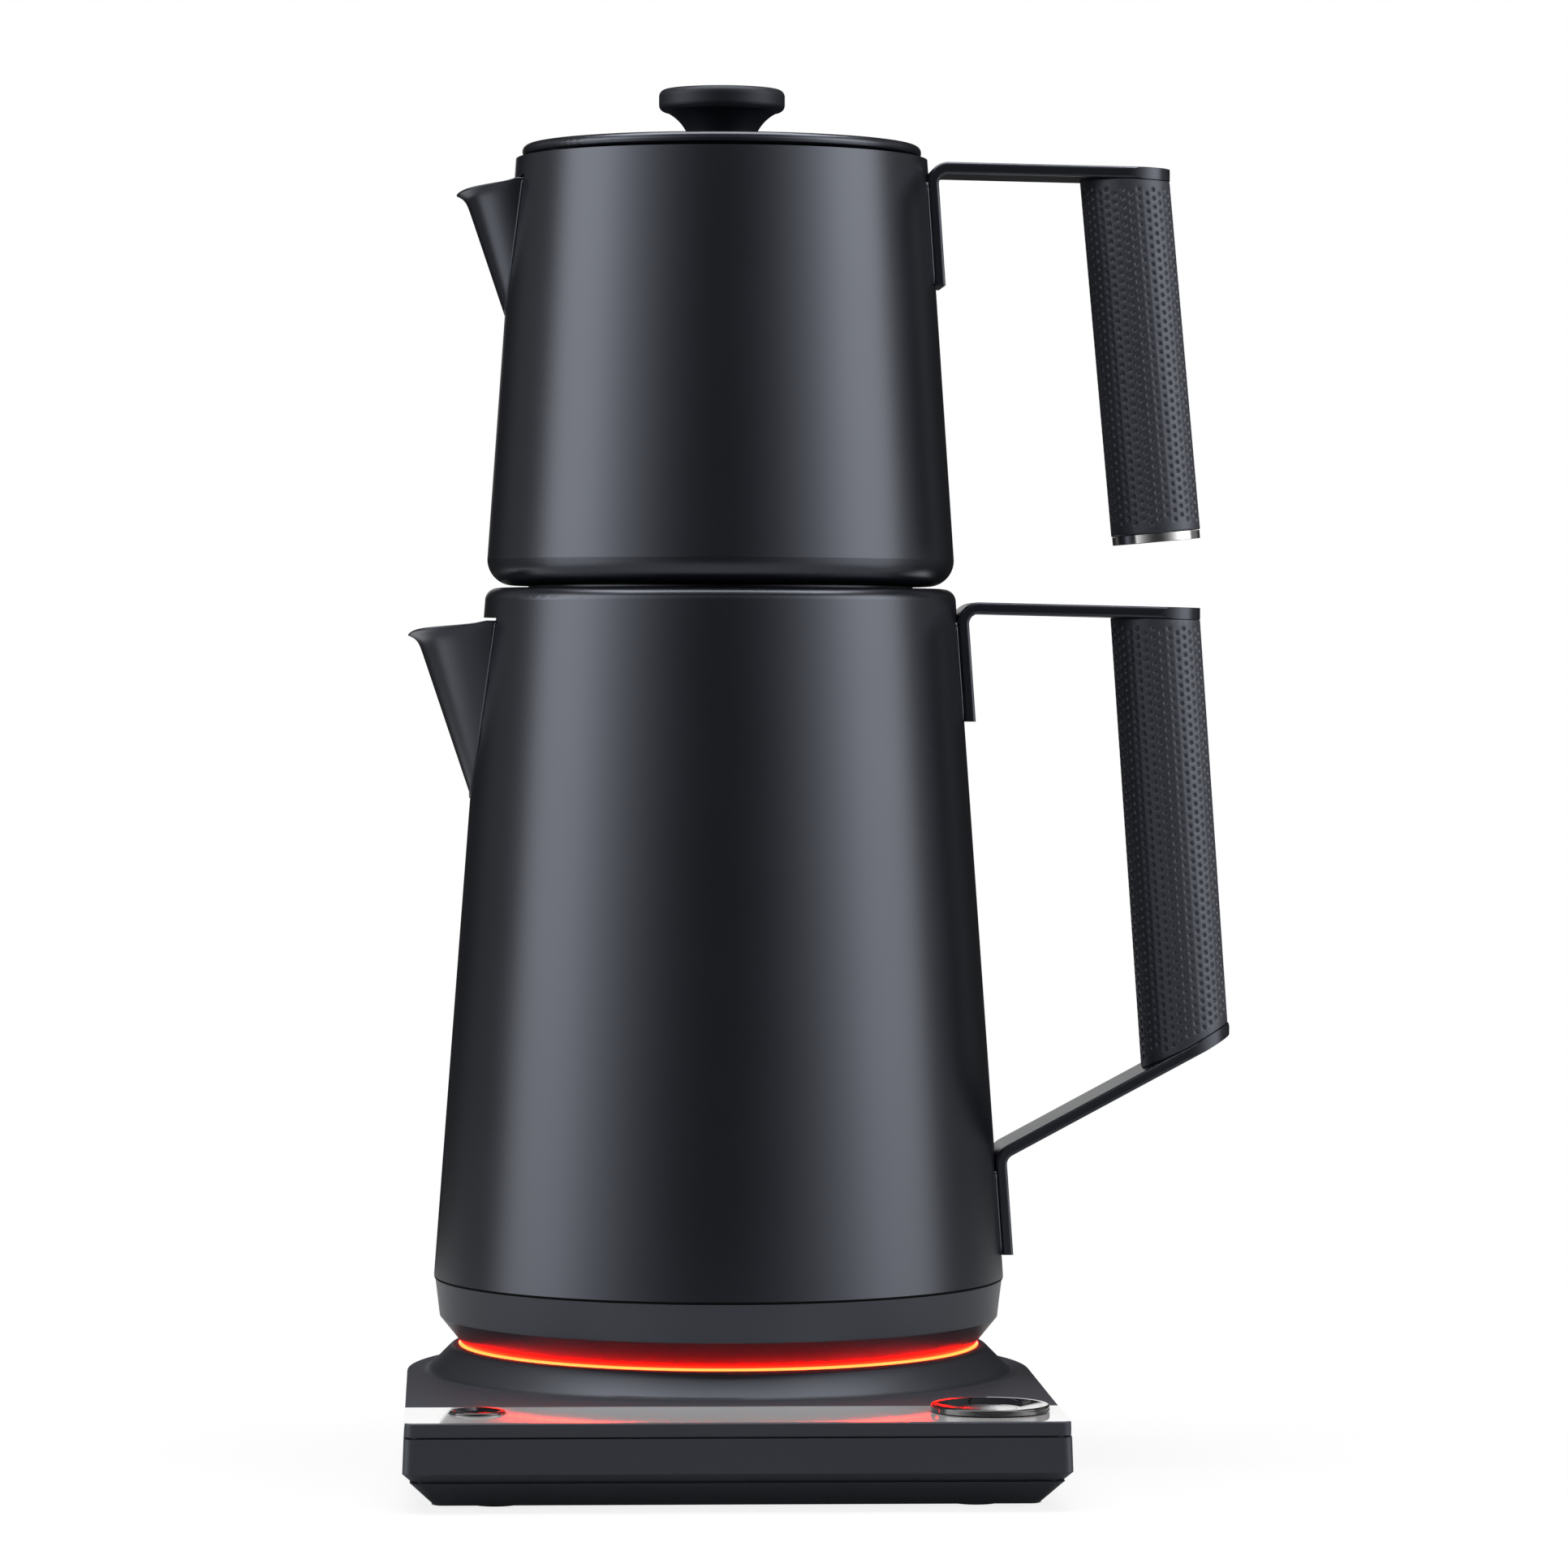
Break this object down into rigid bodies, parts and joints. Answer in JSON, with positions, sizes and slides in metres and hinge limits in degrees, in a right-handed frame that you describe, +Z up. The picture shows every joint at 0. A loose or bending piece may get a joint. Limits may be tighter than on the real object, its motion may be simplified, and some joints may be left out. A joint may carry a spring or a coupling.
{
  "type": "electric double tea maker",
  "caption": "Tapered teapot stacked on a tapered kettle, both with V spouts and leaning grips, on a powered D-shaped base with a light ring, dial and button.",
  "frame": {"origin": "on the kettle's axis, on the surface that the base stands on", "axes": "+Z up, handles along +X, spouts along -X, the front of the base with its dial along -Y"},
  "size_m": [0.2117, 0.199, 0.3491],
  "materials": {
    "black_paint": "matte black paint",
    "dark_plastic": "fine matte texture",
    "polished_strip": "polished",
    "gloss_black": "high gloss",
    "bright_steel": "polished",
    "grip_rubber": "dimpled, satin",
    "foot_rubber": "matte",
    "plain_steel": "satin",
    "cast_aluminium": "cast",
    "ring_light": "lit red",
    "circuit_board": "solder mask",
    "component_black": "moulded",
    "connector_plastic": "moulded",
    "contact_brass": "bright"
  },
  "bodies": {
    "base": {"rubber_feet": "foot_rubber", "base_tray": "dark_plastic", "base_housing": "dark_plastic", "cord_gland": "dark_plastic", "base_deck": "dark_plastic", "control_panel": "polished_strip", "base_screws": "plain_steel", "light_ring": "ring_light", "led_board": "circuit_board", "leds": "ring_light", "power_board": "circuit_board", "relay": "component_black", "control_board": "circuit_board", "rotary_encoder": "component_black", "tact_switch": "component_black", "power_connector": "connector_plastic", "base_contacts": "contact_brass"},
    "dial": {"dial": "gloss_black", "dial_cap": "bright_steel", "dial_shaft": "plain_steel"},
    "button": {"power_button": "gloss_black"},
    "connector": {"kettle_socket": "connector_plastic", "socket_contacts": "contact_brass"},
    "kettle": {"kettle_body": "black_paint", "kettle_spout": "black_paint", "kettle_collar": "dark_plastic", "kettle_floor": "plain_steel", "element_plate": "cast_aluminium", "heating_element": "plain_steel", "thermostat": "component_black", "kettle_underplate": "dark_plastic", "collar_screws": "plain_steel", "kettle_upper_strip": "black_paint", "kettle_lower_strip": "black_paint", "kettle_grip": "grip_rubber", "kettle_grip_core": "plain_steel"},
    "teapot": {"teapot_body": "black_paint", "teapot_spout": "black_paint", "teapot_strainer": "plain_steel", "teapot_bracket": "black_paint", "teapot_grip": "grip_rubber", "teapot_grip_core": "plain_steel", "teapot_grip_cap": "bright_steel", "teapot_grip_screw": "plain_steel"},
    "lid": {"lid_cover": "black_paint", "lid_skirt": "black_paint", "lid_knob": "black_paint", "lid_knob_screw": "plain_steel"}
  },
  "joints": [
    {"name": "kettle_lift", "type": "slide", "parent": "base", "child": "connector", "axis": [0, 0, 1], "range_m": [0, 0.12]},
    {"name": "kettle_swivel", "type": "hinge", "parent": "connector", "child": "kettle", "pos_m": [0, 0, 0.0288], "axis": [0, 0, 1], "continuous": true},
    {"name": "teapot_lift", "type": "slide", "parent": "kettle", "child": "teapot", "axis": [0, 0, 1], "range_m": [0, 0.12]},
    {"name": "lid_lift", "type": "slide", "parent": "teapot", "child": "lid", "axis": [0, 0, 1], "range_m": [0, 0.08]},
    {"name": "dial_turn", "type": "hinge", "parent": "base", "child": "dial", "pos_m": [0.062, -0.0935, 0.0214], "axis": [0, 0, 1], "continuous": true},
    {"name": "button_press", "type": "slide", "parent": "base", "child": "button", "axis": [0, 0, -1], "range_m": [0, 0.0008], "stiffness_N_per_m": 1500}
  ]
}
